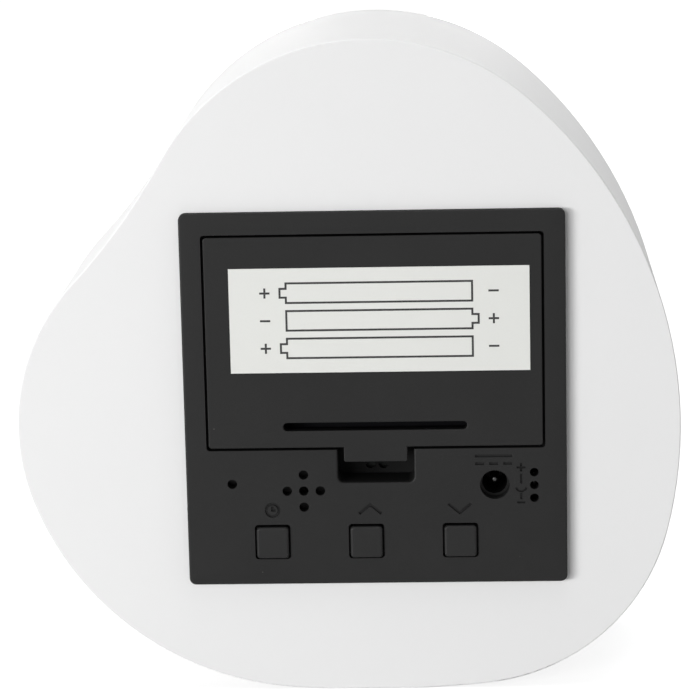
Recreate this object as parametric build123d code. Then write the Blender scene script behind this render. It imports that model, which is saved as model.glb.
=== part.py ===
from build123d import *
import os
from math import cos, pi, sin, sqrt

# Pebble-shaped digital clock with a square battery and control module in its back.
# Lengths are millimetres. Z is up, the front faces -Y, the origin is the middle of the base.
# Pieces are drawn as seen from behind: u runs right, v up and w out of the back,
# with w = 0 on the back face of the housing.

# Body: three lobes joined by tangent arcs over a shallow base arc, whose lowest part is cut flat
body_depth = 39.0
front_cover_thickness = 2.0
edge_radius = 0.2
right_lobe_radius = 30.7
right_lobe_u = 16.95
top_lobe_radius = 34.8
top_lobe_u = 3.7
top_lobe_v = 62.42
left_lobe_radius = 32.0
left_lobe_u = -16.65
left_lobe_v = 40.04
flank_radius = 65.2
hollow_radius = 95.0
belly_radius = 43.75
base_radius = 162.5
base_u = 3.53
base_cut = 0.14

# Place of the module in the back face
module_u = 4.05
module_v = 44.55
module_proud = 1.2
pocket_clearance = 0.3

# Battery cells and their contacts
cell_count = 3
cell_diameter = 10.4
cell_length = 44.5
cell_nub_radius = 1.9
cell_nub_height = 1.0
cell_edge_radius = 0.8
cell_gap = 0.2
cell_side_gap = 0.27
cell_end_gap = 0.05
cell_floor_gap = 0.1
contact_thickness = 0.4
contact_width = 8.0
contact_height = 9.0
contact_corner_radius = 1.0
contact_bump_radius = 2.2
contact_bump_height = 0.6
tail_width = 3.0
tail_reach = 2.0
tail_clearance = 0.25
spring_length = 2.4
spring_wire_radius = 0.25
spring_base_radius = 3.6
spring_tip_radius = 1.2
spring_turns = 3
spring_samples = 240
lead_radius = 0.65
lead_bend_radius = 2.5
lead_overlap = 1.0
lead_end_rise = 13.9

# Back case: flange, tray, battery compartment and control bay
face_thickness = 2.0
flange_lip = 2.0
flange_corner_radius = 1.0
flange_edge_radius = 0.3
tray_corner_radius = 1.0
top_wall = 1.18
end_wall = 1.75
divider_wall = 1.2
bay_wall = 1.2
bay_height = 16.0
floor_thickness = 1.5
door_ledge = 0.63
opening_corner_radius = 0.5
ridge_width = 1.0
ridge_height = 2.0
crush_rib_width = 1.5
crush_rib_length = 8.0
crush_rib_spread = 14.0

# Battery door with its flex strip, tongue, tabs and catches
door_thickness = 1.6
door_gap = 0.35
door_seat_gap = 0.1
door_cell_gap = 0.6
door_edge_radius = 0.15
door_rib_width = 0.8
door_rib_height = 1.4
door_rib_length = 36.0
flex_slot_length = 26.9
flex_slot_width = 1.2
flex_strip_height = 2.55
tongue_width = 9.3
tongue_length = 2.2
tongue_corner_radius = 0.3
tab_u = 14.0
tab_width = 6.0
tab_reach = 1.4
tab_thickness = 0.9
tab_leg_height = 1.2
tab_gap = 0.2
catch_u = 10.0
catch_width = 4.0
catch_leg_height = 0.9
catch_nose_reach = 0.4
catch_nose_inset = 0.1
catch_drop = 1.6
catch_gap = 0.3
slot_side_gap = 0.4
slot_depth_gap = 0.6
label_width = 43.6
label_height = 15.5
label_thickness = 0.1
label_offset_u = 0.92
label_offset_v = 3.36

# Finger notch below the door
notch_width = 11.2
notch_height = 5.0
notch_depth = 5.8
notch_corner_radius = 0.9
notch_rim_radius = 0.3
notch_wall = 1.0
notch_hole_radius = 0.7
notch_hole_spacing = 1.9
notch_hole_rise = 1.35

# Push buttons over tact switches
up_button_u = -1.58
button_spacing = 13.84
button_rise = 4.5
button_hole = 5.26
button_gap = 0.27
button_sag = 0.08
button_corner_radius = 0.5
button_proud = 0.5
button_edge_radius = 0.35
button_flange_width = 6.2
button_flange_thickness = 0.8
button_flange_gap = 0.1
switch_width = 6.0
switch_height = 3.5
plunger_radius = 1.7
plunger_proud = 0.8
plunger_sunk = 1.2
plunger_clearance = 0.1
plunger_room = 0.8

# Control board and what stands on it
board_thickness = 1.6
board_clearance = 0.4
sensor_gap = 0.3
sound_hole_radius = 0.71
microphone_radius = 3.0
microphone_inset = 3.57
microphone_rise = 13.37
microphone_rim = 0.6
microphone_felt_depth = 0.4
buzzer_radius = 3.75
buzzer_u = -10.68
buzzer_rise = 12.22
buzzer_hole_radius = 1.0
buzzer_hole_depth = 1.5
buzzer_edge_radius = 0.4
cross_spacing = 2.44
sensor_inset = 1.58
sensor_rise = 12.75
sensor_hole_spacing = 1.94
sensor_hole_radius = 0.65
sensor_radius = 1.1
sensor_length = 3.2
sensor_lead_radius = 0.25
sensor_lead_spread = 1.2
jack_inset = 7.37
jack_rise = 12.87
jack_hole_radius = 2.18
jack_width = 6.4
jack_length = 10.1
jack_gap = 0.1
jack_bore_radius = 1.85
jack_bore_depth = 9.0
jack_cutout_gap = 0.2
jack_pin_radius = 0.65
jack_pin_dome_share = 0.9
jack_pin_sunk = 0.8
jack_pin_tail = 1.0
jack_pin_clearance = 0.05
jack_strip_width = 2.0
jack_strip_thickness = 0.3
jack_foot_length = 1.4
boss_radius = 2.1
boss_inset = 2.5
boss_rise = 4.2
screw_head_radius = 1.9
screw_head_height = 1.4
screw_shank_radius = 0.95
screw_length = 5.6
screw_clearance = 0.05
screw_hole_clearance = 0.2
screw_tip_gap = 0.2
chip_u = -9.5
chip_rise = 9.0
chip_width = 10.0
chip_height = 5.3
chip_thickness = 1.8
chip_leg_pitch = 1.27
chip_leg_width = 0.4
chip_leg_reach = 1.1
chip_leg_thickness = 0.9
chip_legs_per_side = 7
crystal_u = -17.8
crystal_rise = 10.0
crystal_radius = 1.0
crystal_length = 6.0
crystal_lead_radius = 0.15
crystal_lead_length = 1.5
crystal_lead_spread = 0.7
capacitor_u = 17.0
capacitor_rise = 5.4
capacitor_radius = 2.5
capacitor_length = 7.0
capacitor_groove_rise = 1.4
capacitor_groove_depth = 0.3
capacitor_groove_width = 0.6
header_u = 3.0
header_rise = 9.0
header_width = 10.0
header_height = 4.0
header_thickness = 2.5
ribbon_width = 8.0
ribbon_thickness = 0.8

# Display: board, light chips, reflector with segment wells, diffusing film
display_shift_v = 0.0
display_header_v = -11.5
film_thickness = 0.5
reflector_depth = 9.5
reflector_clearance = 0.3
reflector_margin = 1.7
reflector_end_margin = 2.7
digit_height = 15.0
digit_width = 8.0
digit_pitch = 10.1
colon_room = 3.7
colon_rise = 3.0
colon_radius = 1.1
segment_width = 1.7
segment_gap = 0.5
light_chip_length = 1.6
light_chip_width = 0.8
light_chip_height = 0.6
display_rim = 5.3
display_screw_u = 20.0

# How far a cut runs past the face that it opens
overrun = 1.0

# Depths that follow from the sizes above
cell_radius = cell_diameter / 2
face_w = module_proud
face_back_w = face_w - face_thickness
door_back_w = face_w - door_thickness
cell_w = door_back_w - door_cell_gap - cell_radius
floor_w = cell_w - cell_radius - cell_floor_gap
tray_back_w = floor_w - floor_thickness
button_flange_w = face_back_w - button_flange_gap
plunger_w = button_flange_w - button_flange_thickness
switch_w = plunger_w - plunger_proud
board_back_w = switch_w - switch_height
board_front_w = board_back_w - board_thickness
front_inner_w = front_cover_thickness - body_depth
reflector_front_w = front_inner_w + film_thickness
display_w = reflector_front_w + reflector_depth
display_back_w = display_w + board_thickness
display_pilot_w = display_back_w - screw_length - screw_tip_gap

# Outlines of the module, from its centre
compartment_length = (
    cell_length + 2 * cell_end_gap + spring_length + contact_bump_height + 2 * contact_thickness
)
compartment_height = cell_count * cell_diameter + (cell_count - 1) * cell_gap + 2 * cell_side_gap
opening_width = compartment_length + 2 * door_ledge
tray_width = compartment_length + 2 * end_wall
tray_height = top_wall + compartment_height + divider_wall + bay_height + bay_wall
flange_width = tray_width + 2 * flange_lip
flange_height = tray_height + 2 * flange_lip
pocket_width = tray_width + 2 * pocket_clearance
pocket_height = tray_height + 2 * pocket_clearance
compartment_top_v = tray_height / 2 - top_wall
compartment_low_v = compartment_top_v - compartment_height
compartment_v = (compartment_top_v + compartment_low_v) / 2
bay_top_v = compartment_low_v - divider_wall
bay_low_v = bay_wall - tray_height / 2
bay_v = (bay_top_v + bay_low_v) / 2
bay_half_width = tray_width / 2 - bay_wall
tray_low_v = -tray_height / 2
cell_pitch = cell_diameter + cell_gap
cell_places = [compartment_v + cell_pitch * (1 - index) for index in range(cell_count)]
door_width = opening_width - 2 * door_gap
door_height = compartment_height - 2 * door_gap
door_top_v = compartment_top_v - door_gap
door_low_v = compartment_low_v + door_gap
notch_low_v = compartment_low_v - notch_height

# Places on the control bay, from the module's centre
button_v = tray_low_v + button_rise
button_places = {
    "set": (up_button_u - button_spacing, button_v),
    "up": (up_button_u, button_v),
    "down": (up_button_u + button_spacing, button_v),
}
microphone_place = (microphone_inset - bay_half_width, tray_low_v + microphone_rise)
buzzer_place = (buzzer_u, tray_low_v + buzzer_rise)
sensor_place = (bay_half_width - sensor_inset, tray_low_v + sensor_rise)
jack_place = (bay_half_width - jack_inset, tray_low_v + jack_rise)
middle_boss_u = (notch_width / 2 + notch_wall + jack_place[0] - jack_width / 2) / 2
boss_places = [
    (boss_inset - bay_half_width, tray_low_v + boss_rise),
    (bay_half_width - boss_inset, tray_low_v + boss_rise),
    (middle_boss_u, jack_place[1]),
]
header_place = (header_u, tray_low_v + header_rise)
display_header_place = (header_u, display_header_v)
outer_digit_u = (digit_pitch + colon_room) / 2 + digit_pitch
digit_places = [-outer_digit_u, digit_pitch - outer_digit_u, outer_digit_u - digit_pitch, outer_digit_u]
reflector_width = 2 * (outer_digit_u + digit_width / 2 + reflector_margin)
reflector_height = digit_height + 2 * reflector_end_margin
display_height = reflector_height + 2 * display_rim
display_screw_v = (reflector_height + display_rim) / 2
display_screw_places = [
    (side * display_screw_u, display_shift_v + end * display_screw_v) for side in (-1, 1) for end in (-1, 1)
]


def slab(width, height, low, high, place=(0, 0), corner=0):
    """Upright plate of a rectangular outline, between two depths."""
    outline = RectangleRounded(width, height, corner) if corner else Rectangle(width, height)
    return Pos(place[0], place[1], low) * extrude(outline, high - low)


def rod(radius, low, high, place=(0, 0)):
    """Round bar along w, between two depths."""
    return Pos(place[0], place[1], low) * extrude(Circle(radius), high - low)


def cuboid(u_span, v_span, w_span):
    """Block between a lowest and a highest u, v and w."""
    sizes = [high - low for low, high in (u_span, v_span, w_span)]
    middles = [(low + high) / 2 for low, high in (u_span, v_span, w_span)]
    return Pos(*middles) * Box(*sizes)


def meeting_point(first, first_reach, second, second_reach, side):
    """Point at two distances from two centres, left (1) or right (-1) of the line between them."""
    line = second - first
    along = (line.length**2 + first_reach**2 - second_reach**2) / (2 * line.length)
    across = sqrt(first_reach**2 - along**2)
    unit = line.normalized()
    return first + unit * along + Vector(-unit.Y, unit.X) * (side * across)


def arc_about(center, start, end):
    """Arc of under a half turn about a centre."""
    radius = (start - center).length
    middle = center + ((start - center) + (end - center)).normalized() * radius
    return ThreePointArc(start, middle, end)


def body_outline():
    """Pebble outline: base, right lobe, convex flank, top lobe, hollow stretch, left lobe and belly."""
    base = Vector(base_u, base_radius - base_cut)
    right_drop = sqrt((base_radius - right_lobe_radius) ** 2 - (right_lobe_u - base_u) ** 2)
    right = Vector(right_lobe_u, base.Y - right_drop)
    top = Vector(top_lobe_u, top_lobe_v)
    left = Vector(left_lobe_u, left_lobe_v)
    flank = meeting_point(right, flank_radius - right_lobe_radius, top, flank_radius - top_lobe_radius, 1)
    hollow = meeting_point(top, hollow_radius + top_lobe_radius, left, hollow_radius + left_lobe_radius, -1)
    belly = meeting_point(left, belly_radius - left_lobe_radius, base, base_radius - belly_radius, -1)
    base_to_right = base + (right - base).normalized() * base_radius
    right_to_flank = right + (right - flank).normalized() * right_lobe_radius
    flank_to_top = top + (top - flank).normalized() * top_lobe_radius
    top_to_hollow = top + (hollow - top).normalized() * top_lobe_radius
    hollow_to_left = left + (hollow - left).normalized() * left_lobe_radius
    left_to_belly = left + (left - belly).normalized() * left_lobe_radius
    belly_to_base = base + (belly - base).normalized() * base_radius
    whole = make_face(
        [
            arc_about(base, belly_to_base, base_to_right),
            arc_about(right, base_to_right, right_to_flank),
            arc_about(flank, right_to_flank, flank_to_top),
            arc_about(top, flank_to_top, top_to_hollow),
            arc_about(hollow, top_to_hollow, hollow_to_left),
            arc_about(left, hollow_to_left, left_to_belly),
            arc_about(belly, left_to_belly, belly_to_base),
        ]
    )
    box = whole.bounding_box()
    cut_height = overrun - box.min.Y
    return whole - Pos(box.center().X, -cut_height / 2) * Rectangle(box.size.X, cut_height)


def housing(outline):
    """Block with a softened back edge, the module's pocket and the display's window."""
    block = extrude(outline, front_inner_w)
    back = block.faces().sort_by(Axis.Z)[-1]
    block = fillet(back.outer_wire().edges(), edge_radius)
    corner = tray_corner_radius + pocket_clearance
    pocket = slab(pocket_width, pocket_height, display_w, overrun, (0, 0), corner)
    window = slab(
        reflector_width + 2 * reflector_clearance,
        reflector_height + 2 * reflector_clearance,
        front_inner_w - overrun,
        display_w + overrun,
        (0, display_shift_v),
    )
    pilots = [
        rod(screw_shank_radius + screw_clearance, display_pilot_w, display_w + overrun, place)
        for place in display_screw_places
    ]
    return block - module_shift * (pocket + window + pilots)


def front_cover(outline):
    """Thin front of the body with a softened front edge."""
    sheet = Pos(0, 0, -body_depth) * extrude(outline, front_cover_thickness)
    front = sheet.faces().sort_by(Axis.Z)[0]
    return fillet(front.outer_wire().edges(), edge_radius)


def case_shell():
    """Flange and tray, hollowed for the cells and for the control bay."""
    flange = slab(flange_width, flange_height, 0, face_w, (0, 0), flange_corner_radius)
    rim = flange.faces().sort_by(Axis.Z)[-1].outer_wire().edges()
    flange = fillet(rim, flange_edge_radius)
    tray = slab(tray_width, tray_height, tray_back_w, 0, (0, 0), tray_corner_radius)
    opening = slab(
        opening_width,
        compartment_height,
        door_back_w - door_seat_gap,
        face_w + overrun,
        (0, compartment_v),
        opening_corner_radius,
    )
    compartment = slab(compartment_length, compartment_height, floor_w, face_w, (0, compartment_v))
    bay = slab(2 * bay_half_width, bay_height, tray_back_w - overrun, face_back_w, (0, bay_v))
    return flange + tray - opening - compartment - bay


def notch_pocket():
    """Walls and floor of the finger notch, inside the control bay."""
    return cuboid(
        (-notch_width / 2 - notch_wall, notch_width / 2 + notch_wall),
        (notch_low_v - notch_wall, bay_top_v),
        (face_w - notch_depth - notch_wall, face_back_w),
    )


def notch_cut():
    """Space of the finger notch, with rounded lower corners, open to the battery compartment."""
    height = notch_height + overrun
    middle = notch_low_v + height / 2
    space = slab(notch_width, height, face_w - notch_depth, face_w + overrun, (0, middle))
    corners = space.edges().filter_by(Axis.Z).group_by(Axis.Y)[0]
    return fillet(corners, notch_corner_radius)


def on_notch_rim(edge):
    """Whether an edge of the face lies on the rim of the finger notch."""
    middle = edge.center()
    return abs(middle.X) < notch_width and notch_low_v - notch_rim_radius < middle.Y < bay_top_v


def notch_floor_holes():
    """Two small holes through the floor of the notch."""
    height = notch_low_v + notch_hole_rise
    low = face_w - notch_depth - notch_wall - overrun
    return [
        rod(notch_hole_radius, low, low + notch_wall + 2 * overrun, (side * notch_hole_spacing / 2, height))
        for side in (-1, 1)
    ]


def face_holes():
    """Openings of the control face: buttons, microphone, buzzer cross, sensor row and power socket."""
    low = face_back_w - overrun
    high = face_w + overrun
    cross = [(0, 0), (cross_spacing, 0), (-cross_spacing, 0), (0, cross_spacing), (0, -cross_spacing)]
    places = [microphone_place]
    places += [(buzzer_place[0] + u, buzzer_place[1] + v) for u, v in cross]
    row = [(sensor_place[0], sensor_place[1] + step * sensor_hole_spacing) for step in (-1, 0, 1)]
    holes = [rod(sound_hole_radius, low, high, place) for place in places]
    holes += [rod(sensor_hole_radius, low, high, place) for place in row]
    holes += [
        slab(button_hole, button_hole, low, high, place, button_corner_radius)
        for place in button_places.values()
    ]
    return holes + [rod(jack_hole_radius, low, high, jack_place)]


def tab_slots():
    """Windows in the compartment's top wall that take the door's tabs."""
    drop = tab_gap + tab_thickness + slot_depth_gap
    return [
        cuboid(
            (side * tab_u - tab_width / 2 - slot_side_gap, side * tab_u + tab_width / 2 + slot_side_gap),
            (compartment_top_v - overrun, tray_height / 2 + overrun),
            (face_back_w - drop, face_back_w),
        )
        for side in (-1, 1)
    ]


def catch_slots():
    """Windows in the divider wall that take the door's catches."""
    half = catch_width / 2 + slot_side_gap
    drop = catch_gap + catch_drop + slot_depth_gap
    return [
        cuboid(
            (side * catch_u - half, side * catch_u + half),
            (bay_top_v - overrun, compartment_low_v + overrun),
            (face_back_w - drop, face_back_w),
        )
        for side in (-1, 1)
    ]


def tail_slots():
    """Slots in the compartment floor for the tails of the two end contacts."""
    reach = contact_thickness + tail_clearance
    half = tail_width / 2 + tail_clearance
    wall = compartment_length / 2
    slots = []
    for side, v in ((-1, cell_places[0]), (1, cell_places[-1])):
        u_span = sorted((side * wall, side * (wall - reach)))
        slots.append(cuboid(u_span, (v - half, v + half), (tray_back_w - overrun, floor_w + overrun)))
    return slots


def cell_ridges():
    """Low ridges on the compartment floor that keep the cells apart."""
    ridges = []
    for upper, lower in zip(cell_places, cell_places[1:]):
        middle = (upper + lower) / 2
        ridges.append(
            cuboid(
                (-compartment_length / 4, compartment_length / 4),
                (middle - ridge_width / 2, middle + ridge_width / 2),
                (floor_w, floor_w + ridge_height),
            )
        )
    return ridges


def crush_ribs():
    """Ribs on the tray's sides that grip the pocket."""
    ribs = []
    for along in (-crush_rib_spread, crush_rib_spread):
        for side in (-1, 1):
            half = crush_rib_width / 2
            u_span = sorted((side * tray_width / 2, side * pocket_width / 2))
            v_span = sorted((side * tray_height / 2, side * pocket_height / 2))
            depth = (tray_back_w, tray_back_w + crush_rib_length)
            ribs.append(cuboid(u_span, (along - half, along + half), depth))
            ribs.append(cuboid((along - half, along + half), v_span, depth))
    return ribs


def back_case():
    """Black moulding set in the back: face, battery compartment, control bay and finger notch."""
    case = case_shell() + notch_pocket() + cell_ridges() + crush_ribs()
    case += [rod(boss_radius, board_back_w, face_back_w, place) for place in boss_places]
    case -= notch_cut()
    face_edges = case.faces().sort_by(Axis.Z)[-1].edges()
    case = fillet([edge for edge in face_edges if on_notch_rim(edge)], notch_rim_radius)
    pilot = screw_length - board_thickness + screw_tip_gap
    case -= [
        rod(screw_shank_radius + screw_clearance, board_back_w - overrun, board_back_w + pilot, place)
        for place in boss_places
    ]
    case -= face_holes() + notch_floor_holes() + tab_slots() + catch_slots() + tail_slots()
    return case


def battery_door():
    """Door plate with a flex strip and tongue, tabs at its top, catches and stiffening ribs inside."""
    tongue_v = door_low_v - tongue_length / 2
    plate = slab(door_width, door_height, door_back_w, face_w, (0, compartment_v), opening_corner_radius)
    tongue = slab(tongue_width, tongue_length + 2 * overrun, door_back_w, face_w, (0, tongue_v + overrun))
    tongue_tip = tongue.edges().filter_by(Axis.Z).group_by(Axis.Y)[0]
    door = plate + fillet(tongue_tip, tongue_corner_radius)
    slot_v = door_low_v + flex_strip_height + flex_slot_width / 2
    flex_slot = SlotOverall(flex_slot_length, flex_slot_width)
    door -= Pos(0, slot_v, door_back_w) * extrude(flex_slot, door_thickness)
    rim = door.faces().sort_by(Axis.Z)[-1].edges()
    door = fillet(rim, door_edge_radius)
    tab_high_w = face_back_w - tab_gap
    catch_high_w = face_back_w - catch_gap
    nose_v = door_low_v + catch_nose_inset
    for side in (-1, 1):
        tab_span = (side * tab_u - tab_width / 2, side * tab_u + tab_width / 2)
        leg_low_v = door_top_v - tab_leg_height
        door += cuboid(tab_span, (leg_low_v, door_top_v), (tab_high_w - tab_thickness, door_back_w))
        door += cuboid(
            tab_span,
            (leg_low_v, compartment_top_v + tab_reach - door_gap),
            (tab_high_w - tab_thickness, tab_high_w),
        )
        catch_span = (side * catch_u - catch_width / 2, side * catch_u + catch_width / 2)
        leg_v = nose_v + catch_nose_reach
        catch_low_w = door_back_w - catch_drop
        door += cuboid(catch_span, (leg_v, leg_v + catch_leg_height), (catch_low_w, door_back_w))
        door += cuboid(catch_span, (nose_v, leg_v + catch_leg_height), (catch_low_w, catch_high_w))
    for upper, lower in zip(cell_places, cell_places[1:]):
        middle = (upper + lower) / 2
        door += cuboid(
            (-door_rib_length / 2, door_rib_length / 2),
            (middle - door_rib_width / 2, middle + door_rib_width / 2),
            (door_back_w - door_rib_height, door_back_w),
        )
    return door


def door_label():
    """Blank sticker on the door."""
    place = (label_offset_u, compartment_v + label_offset_v)
    return slab(label_width, label_height, face_w, face_w + label_thickness, place)


def push_button(place):
    """Square cap with softened edges, a little low in its hole, on a wider flange behind the face."""
    width = button_hole - 2 * button_gap
    middle = (place[0], place[1] - button_sag)
    cap = slab(width, width, plunger_w, face_w + button_proud, middle, button_corner_radius)
    cap = fillet(cap.faces().sort_by(Axis.Z)[-1].edges(), button_edge_radius)
    return cap + slab(button_flange_width, button_flange_width, plunger_w, button_flange_w, middle)


def switch_plunger(place):
    """Round plunger of a tact switch, under its button."""
    return rod(plunger_radius, switch_w - plunger_sunk, plunger_w, place)


def tact_switches():
    """Bodies of the three tact switches."""
    low = switch_w - plunger_sunk - plunger_room
    return [
        slab(switch_width, switch_width, board_back_w, switch_w, place)
        - rod(plunger_radius + plunger_clearance, low, switch_w + overrun, place)
        for place in button_places.values()
    ]


def control_board():
    """Board of the control bay, cut out for the power socket and drilled for its screws."""
    board = slab(
        2 * (bay_half_width - board_clearance),
        bay_height - 2 * board_clearance,
        board_front_w,
        board_back_w,
        (0, bay_v),
    )
    low = board_front_w - overrun
    high = board_back_w + overrun
    socket = jack_width + 2 * jack_cutout_gap
    board -= slab(socket, socket, low, high, jack_place)
    board -= [rod(screw_shank_radius + screw_hole_clearance, low, high, place) for place in boss_places]
    return board


def dc_jack():
    """Square power socket with a round bore, open to the hole in the face."""
    mouth_w = face_back_w - jack_gap
    body = slab(jack_width, jack_width, mouth_w - jack_length, mouth_w, jack_place)
    body -= rod(jack_bore_radius, mouth_w - jack_bore_depth, mouth_w + overrun, jack_place)
    body -= rod(
        jack_pin_radius + jack_pin_clearance, mouth_w - jack_length - overrun, mouth_w, jack_place
    )
    return body


def dc_jack_pin():
    """Centre pin of the power socket, with its solder tail and a domed tip."""
    mouth_w = face_back_w - jack_gap
    pin = rod(jack_pin_radius, mouth_w - jack_length - jack_pin_tail, mouth_w - jack_pin_sunk, jack_place)
    return fillet(pin.faces().sort_by(Axis.Z)[-1].edges(), jack_pin_radius * jack_pin_dome_share)


def dc_jack_contact():
    """Sleeve contact: a strip down the side of the socket with a foot on the board."""
    side = jack_place[0] - jack_width / 2
    v_span = (jack_place[1] - jack_strip_width / 2, jack_place[1] + jack_strip_width / 2)
    foot_w = board_front_w - jack_strip_thickness
    end_w = face_back_w - jack_gap - jack_length
    strip = cuboid((side - jack_strip_thickness, side), v_span, (end_w, board_front_w))
    return strip + cuboid((side - jack_foot_length, side), v_span, (foot_w, board_front_w))


def buzzer():
    """Round sounder under the cross of holes."""
    top_w = face_back_w - sensor_gap
    can = rod(buzzer_radius, board_back_w, top_w, buzzer_place)
    can = fillet(can.faces().sort_by(Axis.Z)[-1].edges(), buzzer_edge_radius)
    return can - rod(buzzer_hole_radius, top_w - buzzer_hole_depth, top_w + overrun, buzzer_place)


def microphone():
    """Microphone capsule with a sunk felt face."""
    top_w = face_back_w - sensor_gap
    can = rod(microphone_radius, board_back_w, top_w, microphone_place)
    return can - rod(
        microphone_radius - microphone_rim, top_w - microphone_felt_depth, top_w + overrun, microphone_place
    )


def temperature_sensor():
    """Bead on two leads, behind the row of three holes."""
    u, v = sensor_place
    middle_w = face_back_w - sensor_gap - sensor_radius
    bead = Pos(u, v, middle_w) * Rot(90, 0, 0) * Cylinder(sensor_radius, sensor_length)
    bead = fillet(bead.edges().filter_by(GeomType.CIRCLE), sensor_radius / 2)
    for side in (-1, 1):
        bead += rod(sensor_lead_radius, board_back_w, middle_w, (u, v + side * sensor_lead_spread / 2))
    return bead


def clock_chip():
    """Clock chip on the board's front, with a row of legs on each long side."""
    v = tray_low_v + chip_rise
    low = board_front_w - chip_thickness
    chip = slab(chip_width, chip_height, low, board_front_w, (chip_u, v))
    for index in range(chip_legs_per_side):
        u = chip_u + (index - (chip_legs_per_side - 1) / 2) * chip_leg_pitch
        chip += cuboid(
            (u - chip_leg_width / 2, u + chip_leg_width / 2),
            (v - chip_height / 2 - chip_leg_reach, v + chip_height / 2 + chip_leg_reach),
            (board_front_w - chip_leg_thickness, board_front_w),
        )
    return chip


def quartz_crystal():
    """Crystal can lying on the board's front, with two leads."""
    v = tray_low_v + crystal_rise
    can = Pos(crystal_u, v, board_front_w - crystal_radius) * Rot(90, 0, 0)
    crystal = can * Cylinder(crystal_radius, crystal_length)
    reach = crystal_length / 2 + crystal_lead_length / 2
    for side in (-1, 1):
        lead = Cylinder(crystal_lead_radius, crystal_lead_length)
        crystal += can * Pos(side * crystal_lead_spread / 2, 0, reach) * lead
    return crystal


def smoothing_capacitor():
    """Round capacitor standing on the board's front, with the groove of its crimp."""
    place = (capacitor_u, tray_low_v + capacitor_rise)
    can = rod(capacitor_radius, board_front_w - capacitor_length, board_front_w, place)
    groove_w = board_front_w - capacitor_groove_rise
    groove_low_w = groove_w - capacitor_groove_width
    groove = rod(capacitor_radius + overrun, groove_low_w, groove_w, place)
    groove -= rod(capacitor_radius - capacitor_groove_depth, groove_low_w, groove_w, place)
    return can - groove


def ribbon_cable():
    """Flat cable between the two headers, bent through two equal arcs."""
    start = Vector(header_u, header_place[1], board_front_w - header_thickness)
    end = Vector(header_u, display_header_place[1], display_back_w + header_thickness)
    middle = (start + end) / 2
    inward = Vector(0, 0, -1)
    path = TangentArc(start, middle, tangent=inward) + TangentArc(end, middle, tangent=-inward)
    section = Plane(start, x_dir=(1, 0, 0), z_dir=inward) * Rectangle(ribbon_width, ribbon_thickness)
    return sweep(section, path=path)


def board_screw(place, seat_w, direction):
    """Pan-head screw whose head rests at a depth and whose shank runs along a direction."""
    head = rod(screw_head_radius, 0, screw_head_height)
    head = fillet(head.faces().sort_by(Axis.Z)[-1].edges(), screw_head_height / 2)
    screw = head + rod(screw_shank_radius, -screw_length, 0)
    turn = Rot(0, 0, 0) if direction < 0 else Rot(180, 0, 0)
    return Pos(place[0], place[1], seat_w) * turn * screw


def display_board():
    """Board behind the reflector, screwed to the floor of the pocket."""
    board = slab(
        pocket_width - 2 * pocket_clearance, display_height, display_w, display_back_w, (0, display_shift_v)
    )
    return board - [
        rod(screw_shank_radius + screw_hole_clearance, display_w - overrun, display_back_w + overrun, place)
        for place in display_screw_places
    ]


def segment_places():
    """Centre, length and turn of each of the seven segments of a digit, from its middle."""
    half_width = (digit_width - segment_width) / 2
    half_height = (digit_height - segment_width) / 2
    across = digit_width - segment_width - segment_gap
    upright = half_height - segment_gap
    places = [((0, level * half_height), across, 0) for level in (-1, 0, 1)]
    places += [
        ((side * half_width, end * half_height / 2), upright, 90) for side in (-1, 1) for end in (-1, 1)
    ]
    return places


def segment_outline(length):
    """Bar with pointed ends."""
    half = length / 2
    flat = half - segment_width / 2
    rise = segment_width / 2
    corners = [(half, 0), (flat, rise), (-flat, rise), (-half, 0), (-flat, -rise), (flat, -rise)]
    return Polygon(*corners, align=None)


def display_wells():
    """Place and outline of every lit spot of the display: four digits and the colon."""
    wells = []
    for digit_u in digit_places:
        for (u, v), length, turn in segment_places():
            wells.append((Pos(digit_u + u, display_shift_v + v) * Rot(0, 0, turn), segment_outline(length)))
    for side in (-1, 1):
        wells.append((Pos(0, display_shift_v + side * colon_rise), Circle(colon_radius)))
    return wells


def reflector_block():
    """Block with a through well for each segment and for the colon."""
    block = slab(reflector_width, reflector_height, reflector_front_w, display_w, (0, display_shift_v))
    depth = reflector_depth + 2 * overrun
    sink = Pos(0, 0, reflector_front_w - overrun)
    return block - [sink * extrude(spot * outline, depth) for spot, outline in display_wells()]


def led_chips():
    """One light chip at the bottom of each well."""
    chip = Box(light_chip_length, light_chip_width, light_chip_height)
    rise = Pos(0, 0, display_w - light_chip_height / 2)
    return [rise * spot * chip for spot, outline in display_wells()]


def diffuser_film():
    """Film between the reflector and the front cover."""
    return slab(reflector_width, reflector_height, front_inner_w, reflector_front_w, (0, display_shift_v))


def header_block(place, low, high):
    """Connector body on a board."""
    return slab(header_width, header_height, low, high, place)


def cell_side(index):
    """Side of a cell's positive end: cells lie head to tail."""
    return -1 if index % 2 == 0 else 1


def battery_cell(index):
    """Round cell lying along u, with its nub at the positive end."""
    body_length = cell_length - cell_nub_height
    body = Cylinder(cell_radius, body_length)
    body = fillet(body.edges().filter_by(GeomType.CIRCLE), cell_edge_radius)
    nub = Pos(0, 0, (body_length + cell_nub_height) / 2) * Cylinder(cell_nub_radius, cell_nub_height)
    side = cell_side(index)
    plus_end = compartment_length / 2 - contact_thickness - contact_bump_height - cell_end_gap
    middle = side * (plus_end - cell_nub_height - body_length / 2)
    return Pos(middle, cell_places[index], cell_w) * Rot(0, side * 90, 0) * (body + nub)


def spring_point(turn):
    """Point of the spring's centre line after a number of turns, on a cone that narrows upwards."""
    share = turn / spring_turns
    radius = spring_base_radius + (spring_tip_radius - spring_base_radius) * share
    height = spring_wire_radius + (spring_length - 2 * spring_wire_radius) * share
    return Vector(radius * cos(2 * pi * turn), radius * sin(2 * pi * turn), height)


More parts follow.
